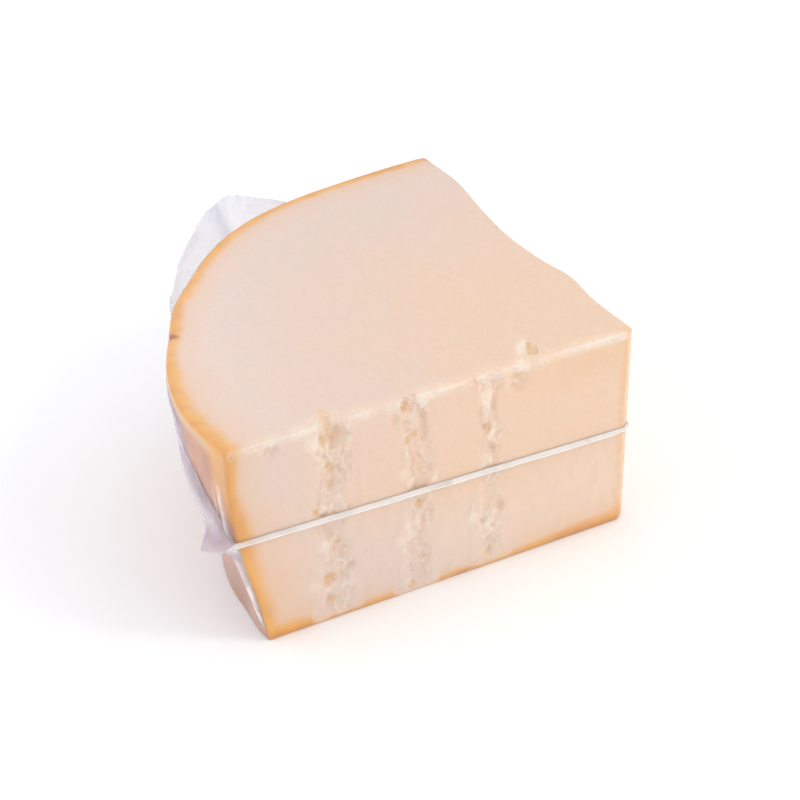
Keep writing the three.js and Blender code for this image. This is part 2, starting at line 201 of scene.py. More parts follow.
# The film's edge: thickness of the weld and the ears, their beads, and how crumpled and milky they are
FIN_STEPS, WEB_STEPS, CORNER_FAN, BACK_STEPS = 14, 8, 9, 4
FIN_SECTION_STEP = 1.0
WELD_THICKNESS, EAR_THICKNESS = 1.0, 0.3
WELD_BEAD, EAR_BEAD = 1.4, 1.8
EAR_FOLD, EAR_FLATS, WELD_WAVE = 2.4, 1.1, 0.4
WELD_MILK, RIM_WELD_MILK, EAR_MILK, EAR_CREASE_MILK, EAR_EDGE_MILK = 0.97, 0.3, 0.2, 0.26, 0.06
WELD_WEB_MILK, EAR_WEB_MILK, PLEAT_MILK, PLEAT_DEPTH = 1.0, 0.88, 0.2, 0.3
WELD_SLOPE, EAR_SLOPE, WELD_FOOT_MILK, CORNER_MILK = 0.6, 0.25, 0.95, 0.5

# The corner ear's outline as its width over arc from the front corner, the tall web over it that the film
# makes between the weld and the upper fold, and how far the webs reach out along the ears
CORNER_OUTLINE = ((0, 9.0), (4, 13.2), (8, 10.2), (16, 4.9), (24, 2.2), (34, 0.6), (44, 0.0))
TALL_WEB = ((0, 0), (5, 6), (14, 10), (24, 13), (31, 19), (45, 21), (58, 21), (72, 8), (82, 0))
CORNER_UNDER_WEB = 11.0
CORNER_JOIN, EAR_JOIN, WELD_JOIN = 0.5, 0.06, 0.7
MAUVE_TO, MAUVE_FADE = 120.0, 50.0

# A brown scar in the rind's top edge: share of the rim, half width, and reach across the edge
SCAR_SHARE, SCAR_HALF_WIDTH, SCAR_REACH = 0.306, 2.5, 6.0

# How soon the rind's gold fades into the paste, as what its depth is multiplied by: along the front face's
# bottom, up the cut faces' sides, on the split face's bottom and on the top. The gold is fullest at the depth
# FULL_GOLD, and nearer to the rind it turns brown.
BOTTOM_RIND = (
    (0, 0.6), (5, 0.9), (14, 1.1), (50, 1.35), (61, 1.8), (64, 3.2), (80, 3.2), (88, 2.0), (101, 1.9),
    (104, 9), (122, 9), (126, 1.7), (140, 1.5), (144, 3.6), (153, 4), (157, 3), (160, 5), (164, 5),
    (168, 1.1), (185, 0.8), (195, 0.6), (205, 0.5),
)
SIDE_RIND = ((0, 0.7), (30, 0.7), (50, 0.62), (70, 0.62), (84, 0.95), (95, 0.9), (105, 0.8))
SPLIT_BOTTOM_RIND = 1.5
FULL_GOLD, TOP_RIND_FULL, TOP_RIND_SCALE, TOP_RIND_BROWN = 3.5, 1.6, 0.95, 0.4
NEAR_RIND_SCALE, NEAR_RIND_BROWN = 0.7, 0.9

# The numbers of the walls in a grid round the block
FRONT, TIP, SPLIT, RIM = range(4)

# Fineness of the meshes: levels rise above the lowest and drop below the top, the columns on a cut face have
# a finest and a coarsest step, and the top's points near the rim have a step and reach so far in
FAN_START = 185.0
FINE_REACH, COLUMN_GRADE, RIM_GRADE = 9.0, 8.0, 1.4
CAP_CLEAR = 0.6
CHEESE_MESH = {
    "lowest": UNDERSIDE_CLEAR, "rises": (0.0, 0.2, 0.5, 0.9, 1.4), "wall_step": 0.7,
    "drops": (6.3, 5.6, 5.0, 4.4, 3.8, 3.3, 2.8, 2.3, 1.9, 1.5, 1.15, 0.85, 0.58, 0.35, 0.18, 0.06, 0.0),
    "front_steps": (0.5, 1.35), "split_steps": (0.7, 2.2), "fan": 16, "rim": 150, "tip": 8,
    "top_step": 4.5, "near_rim": (1.5, 14.0), "pit_step": 0.5, "bottom_step": 8.0,
}
SKIN_MESH = {
    "lowest": 0.0, "rises": (0.0, 0.5), "wall_step": 1.6,
    "drops": (6.0, 4.6, 3.4, 2.4, 1.6, 1.0, 0.5, 0.2, 0.0),
    "front_steps": (1.3, 3.0), "split_steps": (1.6, 3.4), "fan": 16, "rim": 260, "tip": 5,
    "top_step": 5.0, "near_rim": (None, 0.0), "pit_step": None, "bottom_step": 9.0,
}

# Colours as 0 to 255 on a screen
PASTE_NEAR_RIND, PASTE_CORE, PASTE_DEEP = (232, 209, 197), (240, 208, 182), (228, 194, 164)
# Tan for the torn hollows, partly their own tone and partly painted shade; ochre for spots, a painted warm
# glow and painted shade in the pit; pale for flakes and painted highlight
HOLLOW_SHADE_TAN, OCHRE_GLOW_AND_SHADE, FLAKE_AND_HIGHLIGHT_PALE = (236, 197, 157), (232, 176, 94), (250, 237, 220)
RIND_BROWN, RIND_GOLD, RIND_PEACH = (212, 140, 60), (239, 175, 82), (238, 192, 148)
# A painted highlight on the rind's shoulder, painted shade low on its heel, and the brown of the scar
SHOULDER_HIGHLIGHT_PEACH, HEEL_SHADE_BROWN, SCAR_BROWN = (224, 178, 122), (184, 134, 104), (174, 86, 6)
OUTER_RIND, OUTER_RIND_DARK, OUTER_RIND_SPECK = (208, 142, 97), (193, 127, 85), (160, 106, 72)
FACE_TINT, RIM_TINT = (253, 246, 238), (218, 206, 222)
WELD_TINT, EAR_TINT, CORNER_TINT = (255, 250, 247), (222, 229, 255), (216, 199, 207)
SKIN_ALPHA = 0.03
FLOOR_WHITE, FLOOR_GLOW = (0.96, 0.96, 0.96, 1.0), 0.09

# The room's light, and lamps: name, place, aim, size, power and colour
ROOM_LIGHT = 0.59
LIGHTS = (
    ("overhead", (0.1, 0.0, 1.6), (0.0, 0.0, 0.0), 1.6, 4.1, (1.0, 0.98, 0.97)),
    ("front_key", (0.8, -1.2, 0.75), (0.0, 0.0, 0.05), 1.3, 4.3, (1.0, 0.95, 0.87)),
    ("edge_shine", (0.57, -0.74, 1.04), (0.0, 0.0, 0.1), 0.25, 2.3, (1.0, 0.97, 0.95)),
    ("back_sheen", (0.15, 1.28, 0.85), (0.0, 0.0, 0.1), 0.7, 1.4, (0.82, 0.86, 1.0)),
    ("back_left", (-1.2, 0.5, 0.7), (0.0, 0.0, 0.08), 1.7, 11.6, (0.78, 0.86, 1.0)),
    ("tip_glow", (1.2, 0.1, 0.5), (0.1, -0.1, 0.06), 0.9, 1.9, (1.0, 0.9, 0.76)),
)

# Where the camera stands, in the frame of the wheel, and how it is turned
CAMERA_SPOT = (-497.2, -668.9, 586.9)
CAMERA_LENS, CAMERA_SENSOR = 94.5, 36.0
CAMERA_AZIMUTH, CAMERA_ELEVATION, CAMERA_ROLL = (math.radians(angle) for angle in (29.30, 32.10, -0.33))


def clamp01(value):
    return np.clip(value, 0.0, 1.0)


def smooth(value):
    value = clamp01(value)
    return value * value * (3 - 2 * value)


def growing(value, start, reach):
    """From 0 at the start to 1 a reach beyond it."""
    return smooth((value - start) / reach)


def fading(value, end, reach):
    """From 1 a reach before the end to 0 at it."""
    return smooth((end - value) / reach)


def mix(a, b, share):
    return a + (b - a) * share


def read_off(table, place):
    """What a table of places and values gives at a place."""
    return np.interp(place, *zip(*table))


def arc_of(share):
    """How far round the rim from the front corner a share of it lies."""
    return share * CUT_ANGLE * WHEEL_RADIUS


def lattice(i, j):
    """A repeatable number from 0 to 1 for each pair of whole numbers."""
    wave = np.sin(i * 127.1 + j * 311.7) * 43758.5453
    return wave - np.floor(wave)


def lumps(u, v):
    """Smooth lumps from 0 to 1, one lattice cell per unit."""
    u, v = np.broadcast_arrays(np.asarray(u, float), np.asarray(v, float))
    i, j = np.floor(u), np.floor(v)
    a, b = smooth(u - i), smooth(v - j)
    low = mix(lattice(i, j), lattice(i + 1, j), a)
    high = mix(lattice(i, j + 1), lattice(i + 1, j + 1), a)
    return mix(low, high, b)


def facets(u, v, seed):
    """A broken surface from about -1 to 1: each cell of an uneven lattice is one small tilted flat."""
    u, v = np.broadcast_arrays(np.asarray(u, float), np.asarray(v, float))
    nearest = np.full(u.shape, np.inf)
    height = np.zeros(u.shape)
    for du in (-1, 0, 1):
        for dv in (-1, 0, 1):
            i, j = np.floor(u) + du, np.floor(v) + dv
            off_u = u - i - mix(0.15, 0.85, lattice(i + seed, j))
            off_v = v - j - mix(0.15, 0.85, lattice(i, j + 57 + seed))
            away = np.hypot(off_u, off_v)
            level = 2 * lattice(i - seed, j + 11) - 1
            tilt = off_u * (2 * lattice(i + 3, j - seed) - 1) + off_v * (2 * lattice(i - 5, j + seed) - 1)
            closer = away < nearest
            nearest = np.where(closer, away, nearest)
            height = np.where(closer, 0.7 * level + 1.1 * tilt, height)
    return height


def creases(u, v):
    """Thin sharp ridges from 0 to 1, as in stretched film."""
    return 1 - np.abs(2 * lumps(u, v) - 1)


# The block's faces
def band_shares(bands, along, z):
    """How torn a cut face is, from 0 to 1 in a band, and how deep the bands bite, without and with crumbs."""
    torn, smooth_depth, depth = 0.0, 0.0, 0.0
    for at, width, bite in bands:
        wander = WANDER_SIDEWAYS * (lumps(at, z / WANDER_LENGTH) - 0.5)
        aside = (along - at - wander) / (width / 2)
        away = np.where(aside < 0, -aside / GENTLE_REACH, aside / STEEP_REACH)
        ragged = away + RAGGED * (lumps(along / RAGGED_ACROSS + at, z / RAGGED_DOWN) - 0.5)
        lumpy = 0.25 + 0.75 * lumps(along / CRUMB_ACROSS + at, z / CRUMB_DOWN)
        torn = torn + smooth(2.4 * (1.05 - ragged))
        smooth_depth = smooth_depth + bite * smooth(1.3 * (1 - away))
        depth = depth + BAND_EASE * bite * smooth(1.3 * (1.05 - mix(away, ragged, 0.5))) * lumpy
    fade = smooth(z / BAND_FADE)
    return clamp01(torn), smooth_depth * fade, depth * fade


def chip_depth(along, z):
    depth = 0.0
    for at, drop, radius, bite in FRONT_CHIPS:
        depth = depth + bite * smooth(1 - np.hypot(along - at, BLOCK_HEIGHT - z - drop) / radius)
    return depth


def spots(along, z):
    """The depth of the spots on the front face, and their tone."""
    depth, tone = 0.0, 0.0
    for at, height, radius, bite, shade in FRONT_SPOTS:
        uneven = radius * (0.75 + 0.5 * lumps(along / 1.9, z / 2.3))
        share = smooth(1.4 * (1 - np.hypot(along - at, z - height) / uneven))
        depth, tone = depth + bite * share, tone + shade * share
    return depth, np.clip(tone, -1, 1)


def round_inset(from_edge, radius):
    inside = np.clip(radius - from_edge, 0, radius)
    return radius - np.sqrt(radius ** 2 - inside ** 2)


def edge_inset(z, top_round):
    return round_inset(BLOCK_HEIGHT - z, top_round) + round_inset(z, BOTTOM_ROUND)


def split_swing(along):
    return sum(height * np.exp(-(((along - at) / reach) ** 2)) for at, height, reach in SPLIT_SWINGS)


def rim_radius(share):
    share = clamp01(share)
    waves = sum(height * np.sin(count * np.pi * share) for count, height in RIM_WAVES)
    away = (arc_of(share) - RIM_BULGE_AT) / RIM_BULGE_REACH
    return WHEEL_RADIUS + RIM_DRIFT * share + waves + RIM_BULGE * np.exp(-away ** 2)


def rim_inset(share, z):
    """How far the rim leans in. It is drawn in below the weld, and the front corner's edge bows out."""
    down = clamp01(1 - z / BLOCK_HEIGHT)
    off_corner, off_split = smooth(share / 0.08), fading(share, 1, 0.2)
    heel = HEEL_INSET * growing(down, 0.6, 0.4) * (smooth(share / 0.1) * off_split)
    near = off_corner * mix(1.0, 0.35, growing(share, 0.35, 0.3)) * off_split
    waist = WAIST_INSET * np.sin(np.pi * clamp01(z / WAIST_TOP)) * near
    bow = CORNER_BOW * np.exp(-((z - CORNER_BOW_AT) / CORNER_BOW_REACH) ** 2) * (1 - off_corner)
    return RIND_LEAN * down ** RIND_LEAN_POWER + heel + waist - bow


def face_end(z):
    """How far from the tip a cut face reaches at a height."""
    return WHEEL_RADIUS - rim_inset(0.0, z) - edge_inset(z, TOP_ROUND_RIND)


def stack(x, y, z):
    return np.stack(np.broadcast_arrays(x, y, z), axis=-1).astype(float)


def front_point(along, z, inset):
    return stack(-along, inset, z)


def split_point(along, z, inset):
    lean = math.tan(CUT_ANGLE - math.pi / 2)
    return stack(along * lean + split_swing(along) - inset, along, z)


def rim_point(share, z, inset):
    angle = share * CUT_ANGLE
    radius = rim_radius(share) - inset
    return stack(-radius * np.cos(angle), radius * np.sin(angle), z)


def tip_point(turn, z, front_step, split_step):
    """The rounded upright edge between the cut faces, for a turn from 0 at the front to 1 at the split."""
    angle = turn * math.pi / 2
    swing = split_point(TIP_RADIUS, 0.0, 0.0)[..., 0] * turn ** 4
    x = TIP_RADIUS * (np.sin(angle) - 1) + swing - split_step * np.sin(angle)
    y = TIP_RADIUS * (1 - np.cos(angle)) + front_step * np.cos(angle)
    return stack(x, y, z)


# What bites into the cut faces: the cheese's own crumbs, and the film that only half follows them
def crumbs(along, z, seed):
    return sum(
        relief * facets(along / across, z / down, seed + 7 * number)
        for number, (across, down, relief) in enumerate(CRUMB_SIZES)
    )


def crumb_depth(torn, along, z, seed):
    return torn * smooth(z / BAND_FADE + 0.3) * crumbs(along, z, seed)


def front_torn(along, z):
    return clamp01(band_shares(FRONT_BANDS, along, z)[0] + smooth(chip_depth(along, z) / 2))


def split_fade(z):
    return smooth((BLOCK_HEIGHT - z) / SPLIT_BAND_TOP_FADE)


def kept_clear(depth, film_depth):
    """The depth where it is well under the film's, and otherwise just as far under it as clears the film."""
    least = film_depth + FILM_CLEAR - FILM_GAP
    spare = depth - least
    return least + (spare + np.sqrt(spare ** 2 + SOFT_CLEAR ** 2)) / 2


def cheese_front_depth(along, z):
    torn = front_torn(along, z)
    worn = smooth(1 - (BLOCK_HEIGHT - z) / WORN_EDGE_REACH) * (1 - torn) * growing(along, 10, 14)
    spot_depth = spots(along, z)[0]
    spot_depth = spot_depth * np.where(spot_depth < 0, torn, 1.0)
    depth = band_shares(FRONT_BANDS, along, z)[2] + chip_depth(along, z) + spot_depth
    depth = depth + crumb_depth(torn, along, z, FRONT_SEED)
    depth = depth + WORN_EDGE_RELIEF * worn * facets(along / 5.2, z / 3.4, 4)
    return kept_clear(depth, film_front_depth(along, z))


def cheese_split_depth(along, z):
    torn, _, depth = band_shares(SPLIT_BANDS, along, z)
    depth = split_fade(z) * (depth + crumb_depth(torn, along, z, SPLIT_SEED))
    return kept_clear(depth, film_split_depth(along, z))


def scar_share(arc, drop):
    """How strong the brown scar is: drop is how far below the top, or inside the rim, a place lies."""
    aside = (arc - arc_of(SCAR_SHARE)) / SCAR_HALF_WIDTH
    return smooth(1.6 * (1.1 - np.hypot(aside, drop / SCAR_REACH)))


def cheese_rim_depth(share, z):
    arc = arc_of(share)
    dents = lumps(arc / 14, z / 11) - 0.5 + 0.5 * (lumps(arc / 4.1, z / 3.3) - 0.5)
    return kept_clear(RIND_RELIEF * dents, 0.0) + SCAR_DEPTH * scar_share(arc, BLOCK_HEIGHT - z)


def film_front_depth(along, z):
    return BRIDGED_SHARE * (band_shares(FRONT_BANDS, along, z)[1] + chip_depth(along, z))


def film_split_depth(along, z):
    return BRIDGED_SHARE * band_shares(SPLIT_BANDS, along, z)[1] * split_fade(z)


def rim_folds():
    """The folds seen in front, and more of their kind up and down from the weld further round the rim."""
    folds = list(RIM_FOLDS)
    for number in range(FURTHER_FOLDS):
        chance = [float(lattice(number + 0.5, place)) for place in range(7)]
        at = mix(FURTHER_FROM, FURTHER_TO, (number + 1.4 * chance[0]) / FURTHER_FOLDS)
        lean = 34 * (chance[1] - 0.5)
        length, strength = mix(12, 42, chance[2]), 0.25 + 0.75 * chance[3] ** 2
        upward = 1 if chance[4] < 0.6 else -1
        line = [(at + lean * part ** 1.6, WELD_AT_RIND + upward * length * part) for part in FOLD_PARTS]
        folds.append((line, 1.6 + 2.2 * chance[5], (0.35 + 0.5 * chance[6]) * strength, 0.3 * strength))
    return folds


def fold_share(line, half_width, arc, z):
    """From 0 off a fold to 1 on its crest. A fold dies away towards the end of its line."""
    strength = np.zeros(np.broadcast(arc, z).shape)
    pieces = len(line) - 1
    for number, (start, end) in enumerate(zip(line, line[1:])):
        run, climb = end[0] - start[0], end[1] - start[1]
        place = clamp01(((arc - start[0]) * run + (z - start[1]) * climb) / (run ** 2 + climb ** 2))
        away = np.hypot(arc - start[0] - place * run, z - start[1] - place * climb)
        left = 1 - (number + place) / pieces
        strength = np.maximum(strength, smooth(1 - away / half_width) * smooth(2.2 * left))
    return strength


def film_rim_depth(share, z):
    arc = arc_of(share)
    proud = np.zeros(np.broadcast(arc, z).shape)
    for line, half_width, height, _ in rim_folds():
        proud = np.maximum(proud, height * fold_share(line, half_width, arc, z))
    return -proud


# Rings of points round the block
def graded_columns(bands, fine, coarse):
    """Distances from the tip, close together near the bands, up to where the fan of columns starts."""
    columns = [TIP_RADIUS]
    while columns[-1] < FAN_START - coarse:
        near = min(abs(columns[-1] - at) for at, _, _ in bands)
        columns.append(columns[-1] + mix(fine, coarse, growing(near, FINE_REACH, COLUMN_GRADE)))
    return np.array(columns + [FAN_START])[None, :]


def wall_levels(fineness):
    lowest = fineness["lowest"]
    bottom = [lowest + rise for rise in fineness["rises"] if lowest + rise < BOTTOM_ROUND] + [BOTTOM_ROUND]
    top = [BLOCK_HEIGHT - drop for drop in fineness["drops"]]
    steps = int((top[0] - bottom[-1]) / fineness["wall_step"])
    return np.array([*bottom, *np.linspace(bottom[-1], top[0], steps + 1)[1:-1], *top])[:, None]


def block_walls(z, fineness, depths, out):
    """The block's walls as one grid: a row of points for each level, anticlockwise from above, standing off
    the block by out. For each point it also gives the depth under the rind, the wall and the place on it."""
    front_depth, split_depth, rim_depth = depths
    end = face_end(z) + out
    corner = CORNER_SHARE * (CORNER_ROUND + out)
    fan = np.linspace(0, 1, fineness["fan"] + 1)[None, 1:-1]
    fan = FAN_START + (end - corner - FAN_START) * fan

    def along_face(bands, steps):
        columns = np.repeat(graded_columns(bands, *steps), len(z), axis=0)
        return np.concatenate([columns, fan], axis=1)

    def rounded(from_edge):
        return round_inset(from_edge, CORNER_ROUND + out)

    def cut_face(along, top_round, depth, point_of, bottom_scale):
        inset = edge_inset(z, top_round) + depth(along, z) - out
        beside_rim = FULL_GOLD - 1 + (face_end(z) - along) * read_off(SIDE_RIND, z)
        points = point_of(along, z, inset + rounded(end - along))
        return points, np.minimum(beside_rim, z * bottom_scale), inset

    along = along_face(FRONT_BANDS, fineness["front_steps"])[:, ::-1]
    top_round, bottom_scale = read_off(TOP_ROUND_FRONT, along), read_off(BOTTOM_RIND, along)
    front, front_rind, front_inset = cut_face(along, top_round, front_depth, front_point, bottom_scale)
    split_along = along_face(SPLIT_BANDS, fineness["split_steps"])
    split, split_rind, split_inset = cut_face(
        split_along, TOP_ROUND_SPLIT, split_depth, split_point, SPLIT_BOTTOM_RIND)

    turns = np.linspace(0, 1, fineness["tip"] + 1)[None, 1:-1]
    tip = tip_point(turns, z, front_inset[:, -1:], edge_inset(z, TOP_ROUND_SPLIT) - out)
    tip_rind = np.repeat(z * BOTTOM_RIND[0][1], turns.shape[1], axis=1)

    first = np.arcsin((front_inset[:, :1] + corner) / end)
    last = CUT_ANGLE - (split_inset[:, -1:] + corner) / end
    left = np.linspace(1, 0, fineness["rim"] + 1)[None, :]
    angle = mix(first, last, left ** RIM_GRADE)
    share = angle / CUT_ANGLE
    from_front = angle * end - front_inset[:, :1]
    from_split = (CUT_ANGLE - angle) * end - split_inset[:, -1:]
    rim_edge = rim_inset(share, z) + edge_inset(z, TOP_ROUND_RIND) + rim_depth(share, z) - out
    rim = rim_point(share, z, rim_edge + (rounded(from_front) + rounded(from_split)))

    places = [along, 0 * tip_rind, split_along, share]
    wall = np.concatenate([np.full(place.shape, number) for number, place in enumerate(places)], axis=1)
    rind = np.concatenate([front_rind, tip_rind, split_rind, FULL_GOLD + 0 * share], axis=1)
    points = np.concatenate([front, tip, split, rim], axis=1)
    return points, rind, wall, np.concatenate(places, axis=1)


def inside_ring(points, ring):
    """Which points lie inside a closed ring, by the even-odd rule."""
    x, y = points[:, 0:1], points[:, 1:2]
    ax, ay = ring[None, :, 0], ring[None, :, 1]
    bx, by = np.roll(ax, -1), np.roll(ay, -1)
    crosses = (ay > y) != (by > y)
    at = ax + (y - ay) * (bx - ax) / np.where(by == ay, 1, by - ay)
    return (crosses & (x < at)).sum(axis=1) % 2 == 1


def from_ring(points, ring):
    """How far points lie from the nearest point of a ring."""
    return np.array([np.hypot(ring[:, 0] - x, ring[:, 1] - y).min() for x, y in points])


def hex_points(ring, step):
    """A field of points in even triangles over a ring's box, step apart."""
    low, high = ring.min(axis=0), ring.max(axis=0)
    rows = np.arange(low[1], high[1], step * math.sqrt(3) / 2)
    across = np.arange(low[0], high[0], step)
    x = across[None, :] + np.where(np.arange(len(rows)) % 2, step / 2, 0)[:, None]
    return np.column_stack([x.ravel(), np.repeat(rows, len(across))])


def rim_depth_of(points):
    """How far points of the top lie inside the rim."""
    angle = np.arctan2(points[:, 1], -points[:, 0])
    return rim_radius(angle / CUT_ANGLE) - np.hypot(points[:, 0], points[:, 1])


def pit_place(points):
    """Where points of the top lie across and along the pit, from its middle, in units of its half sizes."""
    x, y = points[:, 0] + PIT_ALONG, points[:, 1] - PIT_BEHIND
    across = x * math.cos(PIT_TURN) - y * math.sin(PIT_TURN)
    back = x * math.sin(PIT_TURN) + y * math.cos(PIT_TURN)
    return across / PIT_HALF_ACROSS, back / PIT_HALF_BACK


def pit_radius(points):
    return np.hypot(*pit_place(points))


def cap_points(ring, coarse, rim_step=None, rim_reach=0.0, pit_step=None):
    """Points that fill a flat cap inside its ring: close together near the rim and in the pit."""
    wide = hex_points(ring, coarse)
    chosen = [wide[(rim_depth_of(wide) > rim_reach) & (pit_radius(wide) > PIT_SURROUND)]]
    if rim_step:
        close = hex_points(ring, rim_step)
        chosen.append(close[rim_depth_of(close) <= rim_reach])
    if pit_step:
        fine = hex_points(ring, pit_step)
        chosen.append(fine[pit_radius(fine) <= PIT_SURROUND])
    points = np.concatenate(chosen)
    points = points[inside_ring(points, ring)]
    least = rim_step or coarse / 3
    near_pit = pit_radius(points) <= PIT_SURROUND
    return points[from_ring(points, ring) > np.where(near_pit, pit_step or least, least) * CAP_CLEAR]


def triangulate(ring, inner):
    """Triangles over the ring's points and the inner ones, numbered in that order, facing up."""
    count = len(ring)
    points = [Vector(point) for point in np.concatenate([ring, inner])]
    edges = [(i, (i + 1) % count) for i in range(count)]
    verts, _, faces, origins, _, _ = delaunay_2d_cdt(points, edges, [], 1, 1e-5)
    number = [origin[0] for origin in origins]
    turned = []
    for a, b, c in faces:
        if (verts[b] - verts[a]).cross(verts[c] - verts[a]) <= 0:
            b, c = c, b
        turned.append((number[a], number[b], number[c]))
    return turned


def closed_block(walls, top_inner, top_height, bottom_inner):
    """Points and faces of a closed mesh from the grid of its walls and the inner points of both caps."""
    rows, count = walls.shape[:2]
    a = np.arange(count)
    b = (a + 1) % count
    quads = [np.column_stack([a, b, b + count, a + count]) + row * count for row in range(rows - 1)]

    def cap(ring, inner, ring_start, inner_start):
        triangles = np.array(triangulate(ring[:, :2], inner))
        return np.where(triangles < count, ring_start + triangles, inner_start + triangles - count)

    upper = cap(walls[-1], top_inner, (rows - 1) * count, rows * count)
    under = cap(walls[0], bottom_inner, 0, rows * count + len(top_inner))
    faces = np.concatenate(quads).tolist() + upper.tolist() + under[:, [0, 2, 1]].tolist()
    top = np.column_stack([top_inner, top_height])
    bottom = np.column_stack([bottom_inner, np.full(len(bottom_inner), walls[0, 0, 2])])
    return np.concatenate([walls.reshape(-1, 3), top, bottom]), faces


def top_swell(points, ring):
    swell = lumps(points[:, 0] / TOP_SWELL_LENGTH, points[:, 1] / TOP_SWELL_LENGTH) - 0.5
    return TOP_SWELL * swell * smooth(from_ring(points, ring) / 25)


def block_mesh(fineness, depths, out):
    """A closed mesh that stands off the block by out: its points and faces, the walls' points' depth under
    the rind, wall, place and height, the top's inner points, and a zero for each of the bottom's."""
    z = wall_levels(fineness)
    walls, rind, wall, place = block_walls(z, fineness, depths, out)
    walls[..., 2] *= (BLOCK_HEIGHT + out) / BLOCK_HEIGHT
    ring = walls[-1, :, :2]
    inner = cap_points(ring, fineness["top_step"], *fineness["near_rim"], fineness["pit_step"])
    bottom_inner = cap_points(walls[0, :, :2], fineness["bottom_step"])
    top_height = BLOCK_HEIGHT + out + top_swell(inner, ring)
    if fineness["pit_step"]:
        top_height = top_height - pit_drop(inner)
    points, faces = closed_block(walls, inner, top_height, bottom_inner)
    grid = rind, wall, place, np.broadcast_to(z, wall.shape)
    return points, faces, grid, inner, np.zeros(len(bottom_inner))


def joined(walls, top, bottom):
    return np.concatenate([walls.ravel(), top, bottom])


def make_piece(name, points, faces, values, material):
    mesh = bpy.data.meshes.new(name)
    mesh.from_pydata(((points + PART_SHIFT) * MM).tolist(), [], faces)
    for key, numbers in values.items():
        layer = mesh.attributes.new(key, "FLOAT", "POINT")
        layer.data.foreach_set("value", np.asarray(numbers, np.float32).ravel())
    mesh.polygons.foreach_set("use_smooth", np.ones(len(mesh.polygons), bool))
    mesh.materials.append(material)
    piece = bpy.data.objects.new(name, mesh)
    bpy.context.scene.collection.objects.link(piece)
    return piece


# The cheese
def painted_edge_shine(along, from_edge):
    """How strong the painted highlight along the worn top edge of the front face is, from_edge being a
    distance round its rounding.
    """
    uneven = 0.7 + 0.6 * lumps(along / 2.6, from_edge / 1.7)
    across = smooth(1 - np.abs(from_edge - EDGE_SHINE_MIDDLE) / EDGE_SHINE_REACH)
    return read_off(EDGE_SHINE, along) * uneven * across


def top_edge_painted_shine(points):
    along = -points[:, 0]
    return painted_edge_shine(along, -points[:, 1] + read_off(TOP_ROUND_FRONT, along))


def torn_marks(torn, depth, along, z, seed):
    """How hollow a torn cut face is, for the shade painted in its hollows, and how flaky, for its pale flakes
    and the highlight painted on raised crumbs.
    """
    return growing(depth, 0.7, 2.8) * torn, growing(-crumbs(along, z, seed), 0.05, 0.7) * torn


def cheese_front_marks(along, z):
    """How hollow the front face is, for painted shade, how flaky, with a painted highlight along the top edge
    and painted paleness low down, and how ochre, with a painted warm glow, each from 0 to 1.
    """
    tone = spots(along, z)[1]
    hollow_shade, flake_and_highlight = torn_marks(front_torn(along, z), cheese_front_depth(along, z), along, z, FRONT_SEED)
    # A painted highlight along the worn top edge, a painted warm glow by the upright edge, beside it at the
    # top and low on the left, and painted paleness low down
    painted_shine = painted_edge_shine(along, BLOCK_HEIGHT - z)
    glow = TIP_GLOW * fading(along, *TIP_GLOW_ALONG)
    glow = np.maximum(glow, TOP_GLOW * fading(along, *TOP_GLOW_ALONG) * growing(z, *TOP_GLOW_UP))
    glow = np.maximum(glow, LOW_LEFT_GLOW * growing(along, *LOW_LEFT_ALONG) * fading(z, *LOW_LEFT_UP))
    pale = LOW_PAINTED_PALENESS * fading(along, *LOW_PALE_ALONG) * fading(z, *LOW_PALE_UP)
    return hollow_shade, clamp01(flake_and_highlight + np.maximum(-tone, 0) + painted_shine + pale), np.maximum(tone, glow)


def cheese_split_marks(along, z):
    torn = band_shares(SPLIT_BANDS, along, z)[0]
    marks = torn_marks(torn, cheese_split_depth(along, z), along, z, SPLIT_SEED)
    return *marks, growing(lumps(along / 6, z / 9), 0.72, 0.15) * torn


def pit_drop(points):
    """How far the crumb's pit sinks below the top."""
    x, y = pit_place(points)
    down = np.sqrt(np.clip(1 - x ** 2 - y ** 2, 0, 1))
    rough = lumps((x - down) / PIT_CRUMB, (y + down) / PIT_CRUMB) - 0.5
    reach = 1 + PIT_ROUGHNESS * rough
    depth = PIT_DEPTH * np.sqrt(np.clip(reach ** 2 - x ** 2 - y ** 2, 0, None))
    crumbled = PIT_FACETS * facets(points[:, 0] / PIT_FACET_SIZE, points[:, 1] / PIT_FACET_SIZE, 33)
    return np.where(depth > 0, np.maximum(depth + crumbled, 0.2), 0)


